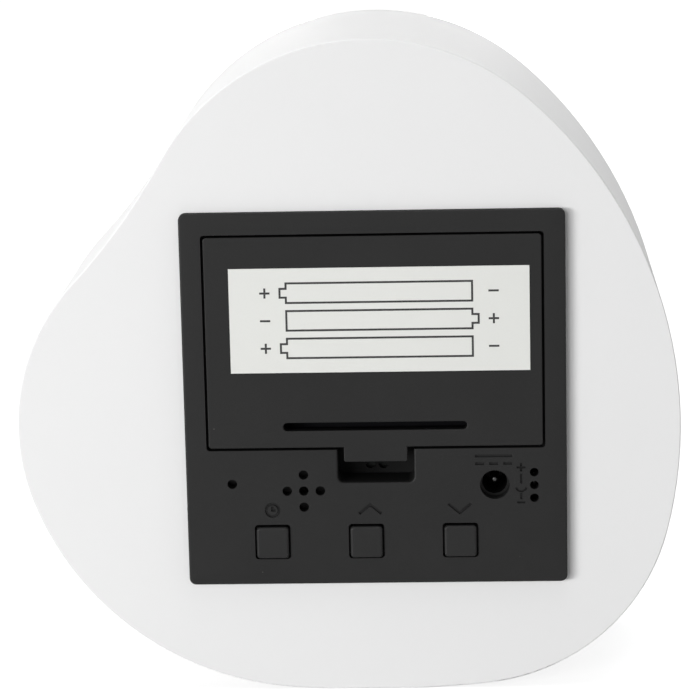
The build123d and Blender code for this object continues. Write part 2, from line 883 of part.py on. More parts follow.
def spring_heading(turn):
    """Direction of the spring's centre line after a number of turns."""
    share = turn / spring_turns
    radius = spring_base_radius + (spring_tip_radius - spring_base_radius) * share
    narrowing = (spring_tip_radius - spring_base_radius) / spring_turns / (2 * pi)
    climb = (spring_length - 2 * spring_wire_radius) / spring_turns / (2 * pi)
    angle = 2 * pi * turn
    u = narrowing * cos(angle) - radius * sin(angle)
    v = narrowing * sin(angle) + radius * cos(angle)
    return Vector(u, v, climb).normalized()


def biarc(start, start_heading, end, end_heading):
    """Two arcs that leave one point and arrive at another along given directions."""
    chord = end - start
    along = chord.dot(start_heading + end_heading)
    spread = 2 * (1 - start_heading.dot(end_heading))
    reach = (sqrt(along**2 + spread * chord.dot(chord)) - along) / spread
    first_corner = start + start_heading * reach
    second_corner = end - end_heading * reach
    joint = (first_corner + second_corner) / 2
    heading = (second_corner - first_corner).normalized()
    return [TangentArc(start, joint, tangent=start_heading), TangentArc(joint, end, tangent=heading)]


def spring_self_gap():
    """Least gap between the wire's surface and itself, measured on points half a turn or more apart."""
    points = [spring_point(spring_turns * index / spring_samples) for index in range(spring_samples + 1)]
    half_turn = spring_samples // spring_turns // 2
    gaps = [
        (points[first] - points[second]).length
        for first in range(len(points))
        for second in range(first + half_turn, len(points))
    ]
    return min(gaps) - 2 * spring_wire_radius


def coil_spring():
    """Conical spring as one unbroken wire of half-turn biarcs."""
    arcs = []
    for half_turn in range(2 * spring_turns):
        ends = [(spring_point(turn), spring_heading(turn)) for turn in (half_turn / 2, (half_turn + 1) / 2)]
        arcs += biarc(*ends[0], *ends[1])
    section = Plane(spring_point(0), z_dir=spring_heading(0)) * Circle(spring_wire_radius)
    return sweep(section, path=Wire(arcs))


def contact_springs():
    """Spring at the negative end of each cell, wide end on its plate."""
    spring = coil_spring()
    plate_face = compartment_length / 2 - contact_thickness
    springs = []
    for index, v in enumerate(cell_places):
        side = -cell_side(index)
        springs.append(Pos(side * plate_face, v, cell_w) * Rot(0, -side * 90, 0) * spring)
    return springs


def contact_plate(side, v_span, bump_v, tail_v):
    """Plate on an end wall, with a bump for a positive end or a tail through the floor where it has one."""
    wall = compartment_length / 2
    u_span = sorted((side * wall, side * (wall - contact_thickness)))
    plate = cuboid(u_span, v_span, (floor_w, floor_w + contact_height))
    top_corners = plate.edges().filter_by(Axis.X).group_by(Axis.Z)[-1]
    plate = fillet(top_corners, contact_corner_radius)
    if bump_v is not None:
        bump = Cylinder(contact_bump_radius, contact_bump_height)
        middle = side * (wall - contact_thickness - contact_bump_height / 2)
        plate += Pos(middle, bump_v, cell_w) * Rot(0, 90, 0) * bump
    if tail_v is not None:
        half = tail_width / 2
        plate += cuboid(u_span, (tail_v - half, tail_v + half), (tray_back_w - tail_reach, floor_w))
    return plate


def contact_plates():
    """Two end contacts and two links that join the cells in a row."""
    half = contact_width / 2
    upper, middle, lower = cell_places
    return [
        contact_plate(-1, (upper - half, upper + half), upper, upper),
        contact_plate(-1, (lower - half, middle + half), lower, None),
        contact_plate(1, (middle - half, upper + half), middle, None),
        contact_plate(1, (lower - half, lower + half), None, lower),
    ]


def battery_leads():
    """Wires from the two end contacts, behind the compartment floor, to the front of the control board."""
    leads = []
    for side, v in ((-1, cell_places[0]), (1, cell_places[-1])):
        u = side * (compartment_length / 2 - contact_thickness - lead_radius)
        w = tray_back_w - tail_reach / 2
        end_v = tray_low_v + lead_end_rise
        start = Vector(u, v + lead_overlap, w)
        route = FilletPolyline(start, (u, end_v, w), (u, end_v, board_front_w), radius=lead_bend_radius)
        section = Plane(start, z_dir=(0, -1, 0)) * Circle(lead_radius)
        leads.append(sweep(section, path=route))
    return leads


def write(node, frame, shape):
    """Place a piece, or a group of equal pieces, in the clock's frame and write it under its name."""
    solids = shape if isinstance(shape, list) else [shape]
    placed = [frame.location * solid for solid in solids]
    piece = placed[0] if len(placed) == 1 else Compound(children=placed)
    export_step(piece, os.path.join("parts", node + ".step"))


os.makedirs("parts", exist_ok=True)
pebble = body_outline()
middle_u = pebble.bounding_box().center().X
back_y = body_depth - (body_depth + module_proud + button_proud) / 2
body_frame = Plane(origin=(middle_u, back_y, 0), x_dir=(-1, 0, 0), z_dir=(0, 1, 0))
module_shift = Pos(module_u, module_v, 0)
module_frame = Plane(origin=(middle_u - module_u, back_y, module_v), x_dir=(-1, 0, 0), z_dir=(0, 1, 0))

write("housing", body_frame, housing(pebble))
write("front_cover", body_frame, front_cover(pebble))
write("back_case", module_frame, back_case())
write("battery_door", module_frame, battery_door())
write("door_label", module_frame, door_label())
for name, place in button_places.items():
    write(name + "_button", module_frame, push_button(place))
    write(name + "_switch_plunger", module_frame, switch_plunger(place))
write("tact_switches", module_frame, tact_switches())
write("control_board", module_frame, control_board())
write("dc_jack", module_frame, dc_jack())
write("dc_jack_pin", module_frame, dc_jack_pin())
write("dc_jack_contact", module_frame, dc_jack_contact())
write("buzzer", module_frame, buzzer())
write("microphone", module_frame, microphone())
write("temperature_sensor", module_frame, temperature_sensor())
write("clock_chip", module_frame, clock_chip())
write("quartz_crystal", module_frame, quartz_crystal())
write("smoothing_capacitor", module_frame, smoothing_capacitor())
header_low_w = board_front_w - header_thickness
write("board_header", module_frame, header_block(header_place, header_low_w, board_front_w))
header_high_w = display_back_w + header_thickness
write("display_header", module_frame, header_block(display_header_place, display_back_w, header_high_w))
write("ribbon_cable", module_frame, ribbon_cable())
write("board_screws", module_frame, [board_screw(place, board_front_w, 1) for place in boss_places])
display_screws = [board_screw(place, display_back_w, -1) for place in display_screw_places]
write("display_screws", module_frame, display_screws)
write("display_board", module_frame, display_board())
write("reflector_block", module_frame, reflector_block())
write("led_chips", module_frame, led_chips())
write("diffuser_film", module_frame, diffuser_film())
for index, name in enumerate(("upper", "middle", "lower")):
    write("cell_" + name, module_frame, battery_cell(index))
write("contact_springs", module_frame, contact_springs())
write("contact_plates", module_frame, contact_plates())
write("battery_leads", module_frame, battery_leads())
print("least gap between turns of a contact spring:", round(spring_self_gap(), 3))
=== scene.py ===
"""Looks of a pebble-shaped desk clock, seen from the back, where its battery and control module sits."""

import math

import bpy
import numpy as np
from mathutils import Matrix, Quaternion, Vector


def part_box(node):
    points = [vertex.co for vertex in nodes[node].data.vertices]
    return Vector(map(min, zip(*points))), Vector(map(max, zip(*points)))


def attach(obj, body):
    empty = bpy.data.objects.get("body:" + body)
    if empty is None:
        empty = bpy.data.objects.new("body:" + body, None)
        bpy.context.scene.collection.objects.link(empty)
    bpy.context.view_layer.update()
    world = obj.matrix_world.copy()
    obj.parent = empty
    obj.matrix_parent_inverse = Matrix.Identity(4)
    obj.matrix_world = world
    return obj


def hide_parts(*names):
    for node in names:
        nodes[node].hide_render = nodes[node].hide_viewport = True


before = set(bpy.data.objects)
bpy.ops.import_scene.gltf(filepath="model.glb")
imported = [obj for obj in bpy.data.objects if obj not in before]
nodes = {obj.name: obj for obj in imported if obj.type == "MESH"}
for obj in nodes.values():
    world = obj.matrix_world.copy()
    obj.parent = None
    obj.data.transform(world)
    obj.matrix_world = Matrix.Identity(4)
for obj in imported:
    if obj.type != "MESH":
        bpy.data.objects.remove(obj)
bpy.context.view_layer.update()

MM = 0.001

# Camera: place and aim in millimetres in the clock's frame, roll in degrees
camera_place = (-18.341, 459.9, 148.69)
camera_aim = (-0.541, 18.65, 51.79)
camera_roll = 1.24
camera_lens = 159.43
sensor_width = 36.0

# Studio light: each soft panel's place, aim, width and height in millimetres, and its power in watts
surround_light = 0.12
soft_panels = {
    "left_panel": ((800, 620, 80), (0, 10, 50), (330, 150), 6.1),
    "near_left_panel": ((520, 900, 240), (0, 10, 50), (500, 500), 3.9),
    "top_panel": ((-100, 30, 700), (0, -20, 50), (500, 400), 1.94),
    "top_front_panel": ((100, -350, 650), (0, 0, 50), (400, 400), 1.15),
    "right_panel": ((-720, 120, 260), (0, 0, 50), (400, 500), 0.82),
    "front_panel": ((0, -900, 50), (0, 0, 50), (250, 250), 4.0),
}

# Floor, in millimetres: how brightly it glows to the camera near the clock and far from it
floor_reach = 6000.0
floor_tone = 0.5
near_floor = 150.0
near_floor_glow = 0.8
far_floor = 800.0
far_floor_glow = 0.97
floor_roughness = 0.9
floor_drift_size = 400.0
floor_drift = 0.01

# Control signs, in millimetres on the module's face: u to the right and v up from its middle
sign_depth = 0.28
sign_line = 0.42
sign_height = 2.3
sign_v = -16.5
dial_u = -15.35
dial_steps = 48
long_hand = 0.55
short_hand = 0.45
up_arrow_u = -0.95
down_arrow_u = 12.2
arrow_width = 3.3
arrow_rise = 0.69
current_sign_u = 17.25
current_sign_v = -9.2
current_sign_length = 5.4
current_sign_gap = 1.15
current_dash_count = 3
current_dash_length = 1.29
polarity_u = 21.25
polarity_line = 0.32
plus_v = -10.4
plus_size = 1.3
plus_room = 1.0
cup_v = -13.2
cup_radius = 0.8
cup_start = 200.0
cup_end = 340.0
cup_steps = 17
room_in_cup = 0.35
room_under_cup = 0.25
minus_v = -15.7
minus_size = 1.2
minus_room = 0.45
bar_gap_share = 0.52

# Engraving: corners nearer than this, in millimetres, are one; edges that turn more, in degrees, are sharp
merge_distance = 0.0005
sharp_edge = 28.0

# Printed cell diagram on the door's sticker, in millimetres from the sticker's middle
print_line = 0.3
print_thickness = 0.012
print_sink = 0.004
print_pitch = 4.1
print_cell_length = 27.0
print_cell_height = 2.9
print_nub_length = 0.9
print_nub_height = 1.3
print_sign_reach = 16.6
print_sign_size = 1.5

# Shared effects: octaves and ranges of their noise
grain_octaves = 2.0
grain_falloff = 0.6
hollow_range = (0.5, 0.25)
speck_core_share = 0.5
drift_octaves = 3.0
drift_range = (0.25, 0.75)

# White coat, in millimetres: its drift of tone, its specks and its orange peel
lacquer_gloss = 0.05
lacquer_roughness = (0.62, 0.72)
lacquer_drift_size = 35.0
lacquer_drift = 0.006
speck_spacing = 16.0
speck_radius_share = 0.012
speck_chance = 0.3
peel_size = 1.1
peel_depth = 0.006

# Black moulding, in millimetres: its dust and pits, the tone of its painted shade below the face, and where
# that shade sets in and is full
moulding_gloss = 0.2
moulding_roughness_rise = 0.1
moulding_drift_size = 9.0
moulding_drift = 0.12
dust_spacing = 3.2
dust_radius_share = 0.03
dust_chance = 0.2
pit_depth_share = 0.08
# Painted shade below the module's face: its tone, and the depths where it starts and where it is full
painted_shade_tone = 0.002
shade_start_depth = 0.05
shade_full_depth = 0.4
case_tone = 0.0105
case_roughness = 0.5
case_grain = 0.2
# Sunk faces of the case: a rougher, less glossy finish, whose darker tone is painted shade
recess_roughness = 0.6
recess_gloss = 0.09
button_tone = 0.012
button_roughness = 0.46
button_grain = 0.12

# Sticker, in millimetres: the fibres of its paper, and its ink
paper_gloss = 0.3
paper_roughness = 0.55
paper_drift_size = 12.0
paper_drift = 0.008
fibre_size = 0.22
fibre_depth = 0.008
fibre_share = 0.12
ink_roughness = 0.5
ink_fibre_size = 0.16
ink_gap_share = 0.25

# Lit time on the front, in millimetres from the display's middle, as seen from the front
lit_time = "1008"
digit_height = 15.0
digit_width = 8.0
digit_pitch = 10.1
colon_room = 3.7
colon_rise = 3.0
segment_width = 1.7
segment_gap = 0.5
glow_softness = 0.35
glow_strength = 1.0
front_skin = 0.5

# Plated metal, in millimetres: its drift of tone, its streaks along X, and the microphone's felt
metal_drift_size = 4.0
metal_drift = 0.06
nickel_roughness = 0.22
pin_roughness = 0.2
streak_size = 0.12
streak_depth = 0.004
streak_scale = (0.08, 1, 1)
streak_roughness_rise = 0.2
felt_radius = 2.4
felt_edge = 0.02

# Cells, in millimetres: their bare ends and band, and the grain of their jackets
cell_bare_tip = 2.0
cell_band_end = 7.5
cell_bare_base = 0.9
jacket_gloss = 0.1
jacket_roughness = (0.45, 0.55)
jacket_grain = 0.3
jacket_grain_depth = 0.004
jacket_drift_size = 14.0
jacket_drift = 0.1
band_drift = 0.06
bare_end_drift_size = 3.0

# Ribbon cable, in millimetres: its wires, whose texture turns wave_rate radians a unit
ribbon_wires = 10
wave_rate = 20.0
wire_relief = 0.2
ribbon_gloss = 0.4
ribbon_roughness = 0.5
ribbon_drift_size = 6.0
ribbon_drift = 0.05

# Plain inner mouldings, in millimetres: their drift of tone and their pits
inner_gloss = 0.25
inner_roughness_rise = 0.12
inner_drift_size = 5.0
inner_drift = 0.08
inner_pit_depth_share = 0.06

# Colours of the finishes, as red, green and blue
lacquer_tone = (0.87, 0.87, 0.87, 1)
lacquer_speck_tone = (0.31, 0.30, 0.29, 1)
glow_tone = (1.0, 0.97, 0.92, 1)
dust_tone = (0.084, 0.08, 0.076, 1)
paper_tone = (0.785, 0.791, 0.762, 1)
fibre_tone = (0.69, 0.68, 0.65, 1)
ink_tone = (0.03, 0.03, 0.03, 1)
worn_ink_tone = (0.2, 0.2, 0.2, 1)
nickel_tone = (0.62, 0.61, 0.58, 1)
# Painted shade: the socket's plated pin is darkened for the shade deep in its hole
pin_shade_tone = (0.07, 0.07, 0.07, 1)
felt_tone = (0.003, 0.003, 0.003, 1)
jacket_tone = (0.006, 0.006, 0.007, 1)
band_tone = (0.36, 0.38, 0.41, 1)
plunger_tone = (0.05, 0.05, 0.05, 1)
# Painted shade: the darker tone of the case's sunk faces
recess_shade_tone = (0.009, 0.009, 0.009, 1)
# Black plastic darkened further as painted shade in the power socket's hole
switch_black_and_shade_tone = (0.003, 0.003, 0.003, 1)
board_tone = (0.006, 0.008, 0.007, 1)
bead_tone = (0.008, 0.006, 0.005, 1)
reflector_tone = (0.8, 0.8, 0.8, 1)
led_tone = (0.9, 0.85, 0.6, 1)
ribbon_tone = (0.4, 0.4, 0.4, 1)
# Painted shade: the darker grooves between the ribbon's wires
ribbon_groove_shade_tone = (0.25, 0.25, 0.25, 1)
lead_tone = (0.08, 0.08, 0.08, 1)

# Finishes of the inner mouldings: tone, roughness and grain in millimetres, and the pieces that take each
inner_finishes = {
    "plunger_plastic": (plunger_tone, 0.4, 0.15),
    # Its tone is partly painted shade, for the power socket's dark hole
    "switch_black": (switch_black_and_shade_tone, 0.5, 0.12),
    "board_coat": (board_tone, 0.45, 0.4),
    "sensor_bead": (bead_tone, 0.15, 0.3),
    "reflector_white": (reflector_tone, 0.5, 0.2),
    "led_white": (led_tone, 0.2, 0.3),
    "lead_insulation": (lead_tone, 0.4, 0.2),
}
inner_pieces = {
    "plunger_plastic": ("set_switch_plunger", "up_switch_plunger", "down_switch_plunger"),
    "switch_black": ("tact_switches", "dc_jack", "buzzer", "board_header", "display_header", "clock_chip"),
    "board_coat": ("control_board", "display_board"),
    "sensor_bead": ("temperature_sensor",),
    "reflector_white": ("reflector_block", "diffuser_film"),
    "led_white": ("led_chips",),
    "lead_insulation": ("battery_leads",),
}


def module_middle():
    """Middle of the module's face in metres: x, y and z."""
    low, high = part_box("back_case")
    return np.array([(low.x + high.x) / 2, high.y, (low.z + high.z) / 2])


def on_module(points, depth):
    """Points (u, v) in millimetres on the module's face, raised by depth, as metres in the clock's frame."""
    points = np.asarray(points, float)
    place = np.empty((*points.shape[:-1], 3))
    place[..., 0] = -points[..., 0] * MM
    place[..., 1] = depth * MM
    place[..., 2] = points[..., 1] * MM
    return place + module_middle()


def mitred_edges(path, width, closed):
    """Both edges of a band of even width along a path: each point moves along the sum of its two segments'
    normals, divided by one plus the cosine of the turn, times half the width."""
    ahead = np.roll(path, -1, axis=0) - path
    ahead /= np.linalg.norm(ahead, axis=1, keepdims=True)
    if not closed:
        ahead[-1] = ahead[-2]
    behind = np.roll(ahead, 1, axis=0)
    if not closed:
        behind[0] = ahead[0]
    turn_cosine = (ahead * behind).sum(axis=1, keepdims=True)
    normals = np.stack([-ahead[:, 1] - behind[:, 1], ahead[:, 0] + behind[:, 0]], axis=1)
    offset = normals / (1 + turn_cosine) * width / 2
    return path + offset, path - offset


def band(path, width, low, high, closed=False):
    """Rectangular section carried along a flat path on the module's face, between two heights: a grid of path
    points by the section's four corners, with a cap at each open end. Gives vertices and faces."""
    path = np.asarray(path, float)
    left, right = mitred_edges(path, width, closed)
    corners = [on_module(left, low), on_module(left, high), on_module(right, high), on_module(right, low)]
    vertices = np.stack(corners, axis=1).reshape(-1, 3)
    count = len(path)
    rows = np.arange(count if closed else count - 1)
    row, column = np.meshgrid(rows, np.arange(4), indexing="ij")
    next_row = (row + 1) % count
    next_column = (column + 1) % 4
    quads = [row * 4 + column, next_row * 4 + column, next_row * 4 + next_column, row * 4 + next_column]
    faces = np.stack(quads, axis=-1).reshape(-1, 4)
    if not closed:
        ends = np.array([[0, 1, 2, 3], [3, 2, 1, 0]])
        ends[1] += 4 * (count - 1)
        faces = np.vstack([faces, ends])
    return vertices, faces


def joined(solids):
    """Several solids' vertices and faces as one list of each."""
    starts = np.cumsum([0] + [len(vertices) for vertices, faces in solids[:-1]])
    vertices = np.vstack([vertices for vertices, faces in solids])
    faces = np.vstack([faces + start for (corners, faces), start in zip(solids, starts)])
    return vertices, faces


def mesh_of(name, vertices, faces):
    """Mesh with its faces turned outwards: all are flipped if the volume under them comes out negative."""
    first = vertices[faces[:, 0]]
    doubled = np.zeros(len(faces))
    for corner in range(1, faces.shape[1] - 1):
        side = np.cross(vertices[faces[:, corner]], vertices[faces[:, corner + 1]])
        doubled += (first * side).sum(axis=1)
    if doubled.sum() < 0:
        faces = faces[:, ::-1]
    mesh = bpy.data.meshes.new(name)
    mesh.from_pydata(vertices.tolist(), [], faces.tolist())
    mesh.update()
    return mesh


def piece(name, mesh, body):
    """Object at the origin that rides on a body."""
    made = bpy.data.objects.new(name, mesh)
    bpy.context.scene.collection.objects.link(made)
    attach(made, body)
    return made


def arc(middle, radius, start, end, steps):
    """Points on an arc about a middle, between two angles in degrees."""
    angles = np.radians(np.linspace(start, end, steps))
    return np.stack([middle[0] + radius * np.cos(angles), middle[1] + radius * np.sin(angles)], axis=1)


def plus_bars(u, v, size, line):
    """A plus sign's bars that don't overlap: one across, and two short uprights."""
    gap = line * bar_gap_share
    return [
        [(u - size / 2, v), (u + size / 2, v)],
        [(u, v + gap), (u, v + size / 2)],
        [(u, v - gap), (u, v - size / 2)],
    ]


def arrow(u, rise):
    """Path of an arrow head that points up, or down where its rise is negative."""
    half = arrow_width / 2
    return [(u - half, sign_v - rise), (u, sign_v + rise), (u + half, sign_v - rise)]


def current_sign():
    """Paths of the direct current sign: a full line over a row of dashes."""
    left, right = current_sign_u - current_sign_length / 2, current_sign_u + current_sign_length / 2
    top, bottom = current_sign_v + current_sign_gap / 2, current_sign_v - current_sign_gap / 2
    starts = np.linspace(left, right - current_dash_length, current_dash_count)
    dashes = [[(start, bottom), (start + current_dash_length, bottom)] for start in starts]
    return [[(left, top), (right, top)], *dashes]


def polarity_sign():
    """Paths of the plug's polarity, from the top: a plus, a stem, an open cup, a stem and a minus."""
    cup_bottom = cup_v - cup_radius - room_under_cup
    return [
        *plus_bars(polarity_u, plus_v, plus_size, polarity_line),
        [(polarity_u, plus_v - plus_room), (polarity_u, cup_v + room_in_cup)],
        arc((polarity_u, cup_v), cup_radius, cup_start, cup_end, cup_steps),
        [(polarity_u, cup_bottom), (polarity_u, minus_v + minus_room)],
        [(polarity_u - minus_size / 2, minus_v), (polarity_u + minus_size / 2, minus_v)],
    ]


def control_signs(low, high):
    """Solids of the signs over the buttons and beside the power socket: a dial, two arrows, the direct
    current sign and the plug's polarity."""
    dial = arc((dial_u, sign_v), (sign_height - sign_line) / 2, 0, 360, dial_steps + 1)[:-1]
    hands = [(dial_u, sign_v + long_hand), (dial_u, sign_v), (dial_u + short_hand, sign_v)]
    broad = [hands, arrow(up_arrow_u, arrow_rise), arrow(down_arrow_u, -arrow_rise), *current_sign()]
    solids = [band(dial, sign_line, low, high, closed=True)]
    solids += [band(path, sign_line, low, high) for path in broad]
    solids += [band(path, polarity_line, low, high) for path in polarity_sign()]
    return joined(solids)


def merged_copy(node):
    """Vertices and triangles of a node, with corners at the same place made one."""
    mesh = node.data
    corners = np.empty(len(mesh.vertices) * 3, np.float32)
    mesh.vertices.foreach_get("co", corners)
    mesh.calc_loop_triangles()
    triangles = np.empty(len(mesh.loop_triangles) * 3, np.int32)
    mesh.loop_triangles.foreach_get("vertices", triangles)
    corners = corners.reshape(-1, 3).astype(float)
    keys = np.round(corners / (merge_distance * MM)).astype(np.int64)
    unique, first, index = np.unique(keys, axis=0, return_index=True, return_inverse=True)
    triangles = index.reshape(-1)[triangles].reshape(-1, 3)
    distinct = (triangles != np.roll(triangles, 1, axis=1)).all(axis=1)
    return corners[first], triangles[distinct]


def engraved_case():
    """Back case with the control signs sunk into its face: the case less the signs' solids. Its faces deeper
    than the painted shade's full depth take its second finish, whose darker tone is painted shade too."""
    vertices, faces = merged_copy(nodes["back_case"])
    case = piece("engraved_back_case", mesh_of("engraved_back_case", vertices, faces), "clock")
    cutter_mesh = mesh_of("sign_cutter", *control_signs(-sign_depth, sign_depth))
    cutter = bpy.data.objects.new("sign_cutter", cutter_mesh)
    bpy.context.scene.collection.objects.link(cutter)
    cut = case.modifiers.new("signs", "BOOLEAN")
    cut.operation = "DIFFERENCE"
    cut.solver = "EXACT"
    cut.object = cutter
    shown = case.evaluated_get(bpy.context.evaluated_depsgraph_get())
    engraved = bpy.data.meshes.new_from_object(shown)
    case.modifiers.clear()
    case.data = engraved
    bpy.data.objects.remove(cutter)
    engraved.shade_smooth()
    engraved.set_sharp_from_angle(angle=math.radians(sharp_edge))
    heights = np.empty(len(engraved.polygons) * 3, np.float32)
    engraved.polygons.foreach_get("center", heights)
    # Faces deeper than the painted shade's full depth take the darker recess finish, as painted shade
    in_shade = heights[1::3] < module_middle()[1] - shade_full_depth * MM
    engraved.polygons.foreach_set("material_index", in_shade.astype(np.int32))
    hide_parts("back_case")


def cell_sketch(v, side):
    """Outline of a cell on the print, with its nub towards one side, and its plus and minus signs."""
    half, rise, nub = print_cell_length / 2, print_cell_height / 2, print_nub_height / 2
    tip = half + print_nub_length
    outline = [(-half, -rise), (half, -rise), (half, -nub), (tip, -nub),
               (tip, nub), (half, nub), (half, rise), (-half, rise)]
    outline = [(side * u, v + height) for u, height in outline]
    plus_u, minus_u = side * print_sign_reach, -side * print_sign_reach
    signs = plus_bars(plus_u, v, print_sign_size, print_line)
    signs.append([(minus_u - print_sign_size / 2, v), (minus_u + print_sign_size / 2, v)])
    return outline, signs


def label_print():
    """Thin ink lines on the sticker: three cells head to tail, as they lie behind the door."""
    low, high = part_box("door_label")
    middle = module_middle()
    shift = np.array([middle[0] - (low.x + high.x) / 2, (low.z + high.z) / 2 - middle[2]]) / MM
    face = (high.y - middle[1]) / MM
    depth = (face - print_sink, face + print_thickness)
    solids = []
    for row, side in ((1, -1), (0, 1), (-1, -1)):
        outline, signs = cell_sketch(row * print_pitch, side)
        solids.append(band(np.array(outline) + shift, print_line, *depth, closed=True))
        solids += [band(np.array(path) + shift, print_line, *depth) for path in signs]
    piece("label_print", mesh_of("label_print", *joined(solids)), "battery_door")


def add(tree, kind, inputs=None, **settings):
    """Node of a kind in a tree, with its settings, and values or links for its inputs."""
    node = tree.nodes.new(kind)
    for name, value in settings.items():
        setattr(node, name, value)
    for name, value in (inputs or {}).items():
        if isinstance(value, bpy.types.NodeSocket):
            tree.links.new(value, node.inputs[name])
        else:
            node.inputs[name].default_value = value
    return node


def maths(tree, operation, *values):
    """Result of an operation on numbers."""
    return add(tree, "ShaderNodeMath", dict(enumerate(values)), operation=operation).outputs[0]


def vectors(tree, operation, *values):
    """Result of an operation on vectors."""
    return add(tree, "ShaderNodeVectorMath", dict(enumerate(values)), operation=operation).outputs[0]


def mapped(tree, value, low, high, new_low=0.0, new_high=1.0, **settings):
    """A value carried from one range to another, and held at the ends."""
    inputs = {"Value": value, "From Min": low, "From Max": high, "To Min": new_low, "To Max": new_high}
    return add(tree, "ShaderNodeMapRange", inputs, **settings).outputs["Result"]


def effect(name, inputs, outputs):
    """Empty shader node group with named sockets: gives the tree, its input sockets and its output node."""
    tree = bpy.data.node_groups.new(name, "ShaderNodeTree")
    for label, kind in inputs.items():
        tree.interface.new_socket(label, in_out="INPUT", socket_type="NodeSocket" + kind)
    for label, kind in outputs.items():
        tree.interface.new_socket(label, in_out="OUTPUT", socket_type="NodeSocket" + kind)
    return tree, tree.nodes.new("NodeGroupInput").outputs, tree.nodes.new("NodeGroupOutput").inputs


def grain_effect():
    """Fine grain: noise whose bumps are about Size apart, as a height and a mask of its hollows."""
    sockets = {"Point": "Vector", "Size": "Float"}
    tree, given, wanted = effect("fine_grain", sockets, {"Height": "Float", "Hollow": "Float"})
    scale = maths(tree, "DIVIDE", 1.0, given["Size"])
    octaves = {"Vector": given["Point"], "Scale": scale, "Detail": grain_octaves,
               "Roughness": grain_falloff}
    height = add(tree, "ShaderNodeTexNoise", octaves).outputs["Fac"]
    tree.links.new(height, wanted["Height"])
    tree.links.new(mapped(tree, height, *hollow_range), wanted["Hollow"])
    return tree


def speck_effect():
    """Loose specks: round spots about Spacing apart, of Radius as a share of it, kept by chance."""
    sockets = {"Point": "Vector", "Spacing": "Float", "Radius": "Float", "Chance": "Float"}
    tree, given, wanted = effect("loose_specks", sockets, {"Mask": "Float"})
    scale = maths(tree, "DIVIDE", 1.0, given["Spacing"])
    spread = {"Vector": given["Point"], "Scale": scale, "Randomness": 1.0}
    spots = add(tree, "ShaderNodeTexVoronoi", spread).outputs
    core = maths(tree, "MULTIPLY", given["Radius"], speck_core_share)
    spot = mapped(tree, spots["Distance"], given["Radius"], core)
    draw = add(tree, "ShaderNodeSeparateColor", {"Color": spots["Color"]}).outputs["Red"]
    kept = maths(tree, "LESS_THAN", draw, given["Chance"])
    tree.links.new(maths(tree, "MULTIPLY", spot, kept), wanted["Mask"])
    return tree


def drift_effect():
    """Slow drift of a colour: it is scaled by one plus or minus Amount, following noise about Size across."""
    sockets = {"Point": "Vector", "Color": "Color", "Size": "Float", "Amount": "Float"}
    tree, given, wanted = effect("tone_drift", sockets, {"Color": "Color"})
    scale = maths(tree, "DIVIDE", 1.0, given["Size"])
    octaves = {"Vector": given["Point"], "Scale": scale, "Detail": drift_octaves}
    noise = add(tree, "ShaderNodeTexNoise", octaves).outputs["Fac"]
    low = maths(tree, "SUBTRACT", 1.0, given["Amount"])
    high = maths(tree, "ADD", 1.0, given["Amount"])
    factor = mapped(tree, noise, *drift_range, low, high)
    scaled = add(tree, "ShaderNodeVectorMath", {0: given["Color"], "Scale": factor}, operation="SCALE")
    tree.links.new(scaled.outputs[0], wanted["Color"])
    return tree


def bar_effect():
    """Flat bar: full inside a stadium about Middle with straight half lengths Half, fading over Softness at
    Radius. Depth along the view of the front is left out."""
    sockets = {"Point": "Vector", "Middle": "Vector", "Half": "Vector"}
    sockets.update({"Radius": "Float", "Softness": "Float"})
    tree, given, wanted = effect("flat_bar", sockets, {"Mask": "Float"})
    flat = vectors(tree, "MULTIPLY", vectors(tree, "SUBTRACT", given["Point"], given["Middle"]), (1, 0, 1))
    beyond = vectors(tree, "SUBTRACT", vectors(tree, "ABSOLUTE", flat), given["Half"])
    outside = vectors(tree, "MAXIMUM", beyond, (0, 0, 0))
    distance = add(tree, "ShaderNodeVectorMath", {0: outside}, operation="LENGTH").outputs["Value"]
    outer = maths(tree, "ADD", given["Radius"], given["Softness"])
    inner = maths(tree, "SUBTRACT", given["Radius"], given["Softness"])
    fade = mapped(tree, distance, outer, inner, interpolation_type="SMOOTHSTEP")
    tree.links.new(fade, wanted["Mask"])
    return tree


fine_grain = grain_effect()
loose_specks = speck_effect()
tone_drift = drift_effect()
flat_bar = bar_effect()


class Finish:
    """A material being made: its tree, its shader and the object coordinates that its patterns read."""

    def __init__(self, name, **values):
        self.material = bpy.data.materials.new(name)
        self.material.use_nodes = True
        self.tree = self.material.node_tree
        self.shader = self.tree.nodes["Principled BSDF"]
        for label, value in values.items():
            self.shader.inputs[label.replace("_", " ")].default_value = value
        self.point = add(self.tree, "ShaderNodeTexCoord").outputs["Object"]

    def use(self, group, **values):
        """Outputs of a shared effect with these inputs, on the object coordinates."""
        return add(self.tree, "ShaderNodeGroup", {"Point": self.point, **values}, node_tree=group).outputs

    def along(self, axis):
        """Object coordinate along an axis."""
        return add(self.tree, "ShaderNodeSeparateXYZ", {0: self.point}).outputs[axis]

    def blend(self, mask, first, second):
        """Colour that goes from the first to the second as the mask goes from 0 to 1."""
        return add(self.tree, "ShaderNodeMix", {0: mask, 6: first, 7: second}, data_type="RGBA").outputs[2]

    def span(self, mask, low, high):
        """A mask's 0 to 1 carried to a low and a high value."""
        return mapped(self.tree, mask, 0.0, 1.0, low, high)

    def bump(self, height, depth):
        """Surface relief of that depth in metres."""
        relief = add(self.tree, "ShaderNodeBump", {"Height": height, "Distance": depth, "Strength": 1.0})
        self.set("Normal", relief.outputs["Normal"])

    def set(self, label, socket):
        """Links a socket to one of the shader's inputs."""
        self.tree.links.new(socket, self.shader.inputs[label])


def grey(value):
    """Neutral colour of that value."""
    return (value, value, value, 1)


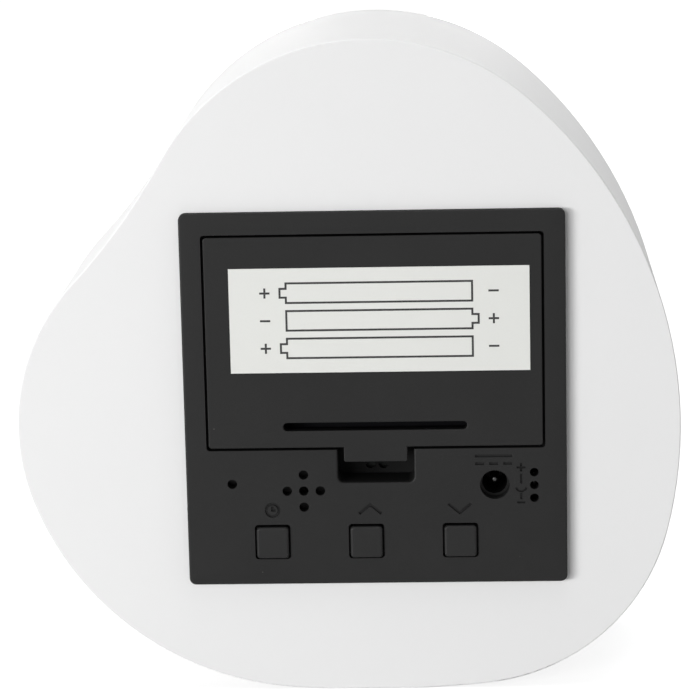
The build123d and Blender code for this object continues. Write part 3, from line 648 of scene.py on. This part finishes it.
def lacquer(name):
    """Smooth matt white coat: a faint orange-peel relief, a slow drift of tone and a few tiny dark specks."""
    coat = Finish(name, Specular_IOR_Level=lacquer_gloss)
    tone = coat.use(tone_drift, Color=lacquer_tone, Size=lacquer_drift_size * MM,
                    Amount=lacquer_drift)["Color"]
    specks = coat.use(loose_specks, Spacing=speck_spacing * MM, Radius=speck_radius_share,
                      Chance=speck_chance)["Mask"]
    coat.set("Base Color", coat.blend(specks, tone, lacquer_speck_tone))
    peel = coat.use(fine_grain, Size=peel_size * MM)
    coat.bump(peel["Height"], peel_depth * MM)
    coat.set("Roughness", coat.span(peel["Hollow"], *lacquer_roughness))
    return coat


def lit_segments():
    """Middle and straight half lengths of each lit bar, in millimetres from the display's middle."""
    half_width, half_height = (digit_width - segment_width) / 2, (digit_height - segment_width) / 2
    across = (digit_width - segment_width - segment_gap - segment_width) / 2
    upright = (half_height - segment_gap - segment_width) / 2
    shapes = {
        "a": ((0, half_height), (across, 0)),
        "b": ((half_width, half_height / 2), (0, upright)),
        "c": ((half_width, -half_height / 2), (0, upright)),
        "d": ((0, -half_height), (across, 0)),
        "e": ((-half_width, -half_height / 2), (0, upright)),
        "f": ((-half_width, half_height / 2), (0, upright)),
        "g": ((0, 0), (across, 0)),
    }
    lit = {"0": "abcdef", "1": "bc", "8": "abcdefg"}
    outer = (digit_pitch + colon_room) / 2 + digit_pitch
    places = (-outer, digit_pitch - outer, outer - digit_pitch, outer)
    bars = [((0, side * colon_rise), (0, 0)) for side in (-1, 1)]
    for figure, place in zip(lit_time, places):
        for (x, z), half in (shapes[segment] for segment in lit[figure]):
            bars.append(((place + x, z), half))
    return bars


def lit_lacquer():
    """The front's white coat with the time shining softly through it."""
    coat = lacquer("front_white")
    middle = module_middle()
    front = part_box("front_cover")[0].y + front_skin * MM
    at_front = maths(coat.tree, "LESS_THAN", coat.along("Y"), front)
    glow = None
    for (x, z), (half_x, half_z) in lit_segments():
        place = (middle[0] + x * MM, 0, middle[2] + z * MM)
        bar = coat.use(flat_bar, Middle=place, Half=(half_x * MM, 0, half_z * MM),
                       Radius=segment_width / 2 * MM, Softness=glow_softness * MM)["Mask"]
        glow = bar if glow is None else maths(coat.tree, "MAXIMUM", glow, bar)
    glow = maths(coat.tree, "MULTIPLY", glow, at_front)
    coat.set("Emission Color", coat.blend(glow, grey(0), glow_tone))
    coat.shader.inputs["Emission Strength"].default_value = glow_strength
    return coat


def black_moulding(name, tone, grain, roughness):
    """Spark-eroded black moulding: fine pits, a slow drift of tone, a little pale dust, and painted shade
    that darkens the surface below the module's face."""
    plastic = Finish(name, Specular_IOR_Level=moulding_gloss)
    color = plastic.use(tone_drift, Color=grey(tone), Size=moulding_drift_size * MM,
                        Amount=moulding_drift)["Color"]
    dust = plastic.use(loose_specks, Spacing=dust_spacing * MM, Radius=dust_radius_share,
                       Chance=dust_chance)["Mask"]
    color = plastic.blend(dust, color, dust_tone)
    face = module_middle()[1]
    # Painted shade: the colour darkens below the module's face, from the start depth to the full depth
    in_shade = mapped(plastic.tree, plastic.along("Y"), face - shade_start_depth * MM, face - shade_full_depth * MM)
    plastic.set("Base Color", plastic.blend(in_shade, color, grey(painted_shade_tone)))
    pits = plastic.use(fine_grain, Size=grain * MM)
    plastic.bump(pits["Height"], pit_depth_share * grain * MM)
    rougher = roughness + moulding_roughness_rise
    plastic.set("Roughness", plastic.span(pits["Hollow"], roughness, rougher))
    return plastic


def paper():
    """Sticker paper: fine fibres and a faint cast."""
    sheet = Finish("label_paper", Roughness=paper_roughness, Specular_IOR_Level=paper_gloss)
    fibres = sheet.use(fine_grain, Size=fibre_size * MM)
    tone = sheet.use(tone_drift, Color=paper_tone, Size=paper_drift_size * MM, Amount=paper_drift)["Color"]
    shown = sheet.span(fibres["Hollow"], 0.0, fibre_share)
    sheet.set("Base Color", sheet.blend(shown, tone, fibre_tone))
    sheet.bump(fibres["Height"], fibre_depth * MM)
    return sheet


def ink():
    """Dark print, a little broken where the fibres are deep."""
    coat = Finish("label_ink", Roughness=ink_roughness, Specular_IOR_Level=paper_gloss)
    fibres = coat.use(fine_grain, Size=ink_fibre_size * MM)
    gaps = coat.span(fibres["Hollow"], 0.0, ink_gap_share)
    coat.set("Base Color", coat.blend(gaps, ink_tone, worn_ink_tone))
    return coat


def plated_metal(name, color, roughness):
    """Nickel-plated steel: drawn streaks along X and a slow drift of tone."""
    metal = Finish(name, Metallic=1.0)
    tone = metal.use(tone_drift, Color=color, Size=metal_drift_size * MM, Amount=metal_drift)["Color"]
    metal.set("Base Color", tone)
    drawn = add(metal.tree, "ShaderNodeMapping", {"Vector": metal.point, "Scale": streak_scale})
    streaks = metal.use(fine_grain, Point=drawn.outputs["Vector"], Size=streak_size * MM)["Height"]
    metal.set("Roughness", metal.span(streaks, roughness, roughness + streak_roughness_rise))
    metal.bump(streaks, streak_depth * MM)
    return metal


def inner_moulding(name, color, roughness, grain, gloss=inner_gloss):
    """Plain inner piece: its colour with a slow drift and a fine grain."""
    plastic = Finish(name, Specular_IOR_Level=gloss)
    tone = plastic.use(tone_drift, Color=color, Size=inner_drift_size * MM, Amount=inner_drift)["Color"]
    plastic.set("Base Color", tone)
    pits = plastic.use(fine_grain, Size=grain * MM)
    plastic.set("Roughness", plastic.span(pits["Hollow"], roughness, roughness + inner_roughness_rise))
    plastic.bump(pits["Height"], inner_pit_depth_share * grain * MM)
    return plastic


def cell_jacket(node, nub_side):
    """Cell: a plain jacket with one band by its positive end, and bare metal at both ends."""
    low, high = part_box(node)
    tip = high.x if nub_side > 0 else low.x
    jacket = Finish(node + "_jacket", Specular_IOR_Level=jacket_gloss)
    reach = maths(jacket.tree, "ABSOLUTE", maths(jacket.tree, "SUBTRACT", jacket.along("X"), tip))
    past_tip = maths(jacket.tree, "GREATER_THAN", reach, cell_bare_tip * MM)
    past_band = maths(jacket.tree, "GREATER_THAN", reach, cell_band_end * MM)
    past_body = maths(jacket.tree, "GREATER_THAN", reach, high.x - low.x - cell_bare_base * MM)
    drift_size = jacket_drift_size * MM
    body = jacket.use(tone_drift, Color=jacket_tone, Size=drift_size, Amount=jacket_drift)["Color"]
    collar = jacket.use(tone_drift, Color=band_tone, Size=drift_size, Amount=band_drift)["Color"]
    bare = jacket.use(tone_drift, Color=nickel_tone, Size=bare_end_drift_size * MM,
                      Amount=metal_drift)["Color"]
    color = jacket.blend(past_tip, bare, collar)
    color = jacket.blend(past_band, color, body)
    jacket.set("Base Color", jacket.blend(past_body, color, bare))
    covered = maths(jacket.tree, "SUBTRACT", past_tip, past_body)
    jacket.set("Metallic", jacket.span(covered, 1.0, 0.0))
    grain = jacket.use(fine_grain, Size=jacket_grain * MM)
    jacket.set("Roughness", jacket.span(grain["Hollow"], *jacket_roughness))
    jacket.bump(grain["Height"], jacket_grain_depth * MM)
    return jacket


def felt_fronted_can(node):
    """Microphone: a plated can whose front is black felt within a radius of its axis."""
    can = plated_metal("microphone_can", nickel_tone, nickel_roughness)
    low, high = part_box(node)
    axis = ((low.x + high.x) / 2, 0, (low.z + high.z) / 2)
    felt = can.use(flat_bar, Middle=axis, Half=(0, 0, 0), Radius=felt_radius * MM,
                   Softness=felt_edge * MM)["Mask"]
    bare = can.shader.inputs["Base Color"].links[0].from_socket
    can.set("Base Color", can.blend(felt, bare, felt_tone))
    can.set("Metallic", can.span(felt, 1.0, 0.0))
    return can


def striped_cable(node):
    """Ribbon cable: its wires side by side along X, as one wave of a texture each."""
    low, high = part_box(node)
    pitch = (high.x - low.x) / ribbon_wires
    cable = Finish("cable_grey", Specular_IOR_Level=ribbon_gloss, Roughness=ribbon_roughness)
    waves = {"Vector": cable.point, "Scale": math.tau / wave_rate / pitch, "Distortion": 0.0}
    wires = add(cable.tree, "ShaderNodeTexWave", waves, wave_type="BANDS", bands_direction="X").outputs["Fac"]
    tone = cable.use(tone_drift, Color=ribbon_tone, Size=ribbon_drift_size * MM, Amount=ribbon_drift)["Color"]
    # Painted shade: the grooves between the wires are darker than the wires
    cable.set("Base Color", cable.blend(wires, ribbon_groove_shade_tone, tone))
    cable.bump(wires, wire_relief * MM)
    return cable


def dress(finish, *names):
    """Gives one finish to pieces by name: in place of a node's own, or as a new piece's next one."""
    for name in names:
        held = bpy.data.objects[name]
        if name in nodes:
            held.material_slots[0].material = finish.material
        else:
            held.data.materials.append(finish.material)


def soft_panel(name, place, aim, size, power):
    """Area light that faces its aim."""
    light = bpy.data.lights.new(name, "AREA")
    light.shape = "RECTANGLE"
    light.size, light.size_y = size[0] * MM, size[1] * MM
    light.energy = power
    lamp = bpy.data.objects.new(name, light)
    bpy.context.scene.collection.objects.link(lamp)
    lamp.location = Vector(place) * MM
    lamp.rotation_mode = "QUATERNION"
    lamp.rotation_quaternion = (Vector(aim) - Vector(place)).to_track_quat("-Z", "Y")


def seen_directly(tree):
    """Mask of the rays that see the surroundings as white: the camera's, or off gloss, or through glass."""
    path = add(tree, "ShaderNodeLightPath").outputs
    mirrored = maths(tree, "MAXIMUM", path["Is Glossy Ray"], path["Is Transmission Ray"])
    return maths(tree, "MAXIMUM", path["Is Camera Ray"], mirrored)


def white_surround():
    """World: white where it is seen directly, an even soft light for the rest."""
    world = bpy.data.worlds.new("white_surround")
    bpy.context.scene.world = world
    world.use_nodes = True
    tree = world.node_tree
    tree.nodes.clear()
    light = add(tree, "ShaderNodeBackground", {"Color": grey(1), "Strength": surround_light})
    white = add(tree, "ShaderNodeBackground", {"Color": grey(1), "Strength": 1.0})
    choice = {0: seen_directly(tree), 1: light.outputs[0], 2: white.outputs[0]}
    mixed = add(tree, "ShaderNodeMixShader", choice)
    add(tree, "ShaderNodeOutputWorld", {"Surface": mixed.outputs[0]})


def pale_floor():
    """Floor: a plain pale plane that keeps the shadow and reads as white where nothing shades it."""
    reach = floor_reach * MM
    corners = np.array([(-reach, -reach, 0), (reach, -reach, 0), (reach, reach, 0), (-reach, reach, 0)])
    mesh = bpy.data.meshes.new("floor")
    mesh.from_pydata(corners.tolist(), [], [(0, 1, 2, 3)])
    floor = bpy.data.objects.new("floor", mesh)
    bpy.context.scene.collection.objects.link(floor)
    coat = Finish("floor_pale", Roughness=floor_roughness, Specular_IOR_Level=0.0)
    tone = coat.use(tone_drift, Color=grey(floor_tone), Size=floor_drift_size * MM,
                    Amount=floor_drift)["Color"]
    coat.set("Base Color", tone)
    away = add(coat.tree, "ShaderNodeVectorMath", {0: coat.point}, operation="LENGTH").outputs["Value"]
    glow = mapped(coat.tree, away, near_floor * MM, far_floor * MM, near_floor_glow, far_floor_glow)
    coat.set("Emission Strength", maths(coat.tree, "MULTIPLY", seen_directly(coat.tree), glow))
    coat.shader.inputs["Emission Color"].default_value = grey(1)
    mesh.materials.append(coat.material)


def photo_camera():
    """Camera at the photograph's place, aimed and rolled as it was."""
    data = bpy.data.cameras.new("photo_camera")
    data.lens = camera_lens
    data.sensor_width = sensor_width
    camera = bpy.data.objects.new("photo_camera", data)
    bpy.context.scene.collection.objects.link(camera)
    camera.location = Vector(camera_place) * MM
    camera.rotation_mode = "QUATERNION"
    look = (Vector(camera_aim) - Vector(camera_place)).to_track_quat("-Z", "Y")
    camera.rotation_quaternion = look @ Quaternion((0, 0, 1), math.radians(-camera_roll))
    bpy.context.scene.camera = camera


engraved_case()
label_print()

dress(lacquer("housing_white"), "housing")
dress(lit_lacquer(), "front_cover")
dress(black_moulding("case_black", case_tone, case_grain, case_roughness),
      "engraved_back_case", "battery_door")
# The case's sunk faces: a darker finish as painted shade in the recesses
dress(inner_moulding("case_recess", recess_shade_tone, recess_roughness, case_grain, recess_gloss),
      "engraved_back_case")
dress(black_moulding("button_black", button_tone, button_grain, button_roughness),
      "set_button", "up_button", "down_button")
dress(paper(), "door_label")
dress(ink(), "label_print")
for name, (tone, roughness, grain) in inner_finishes.items():
    dress(inner_moulding(name, tone, roughness, grain), *inner_pieces[name])
dress(plated_metal("contact_metal", nickel_tone, nickel_roughness), "dc_jack_contact", "contact_springs",
      "contact_plates", "board_screws", "display_screws", "quartz_crystal", "smoothing_capacitor")
# The pin's dark tone is painted shade deep in the socket
dress(plated_metal("pin_metal", pin_shade_tone, pin_roughness), "dc_jack_pin")
dress(felt_fronted_can("microphone"), "microphone")
dress(striped_cable("ribbon_cable"), "ribbon_cable")
for name, side in (("cell_upper", 1), ("cell_middle", -1), ("cell_lower", 1)):
    dress(cell_jacket(name, side), name)

pale_floor()
white_surround()
for name, panel in soft_panels.items():
    soft_panel(name, *panel)
photo_camera()
bpy.context.scene.view_settings.view_transform = "Standard"
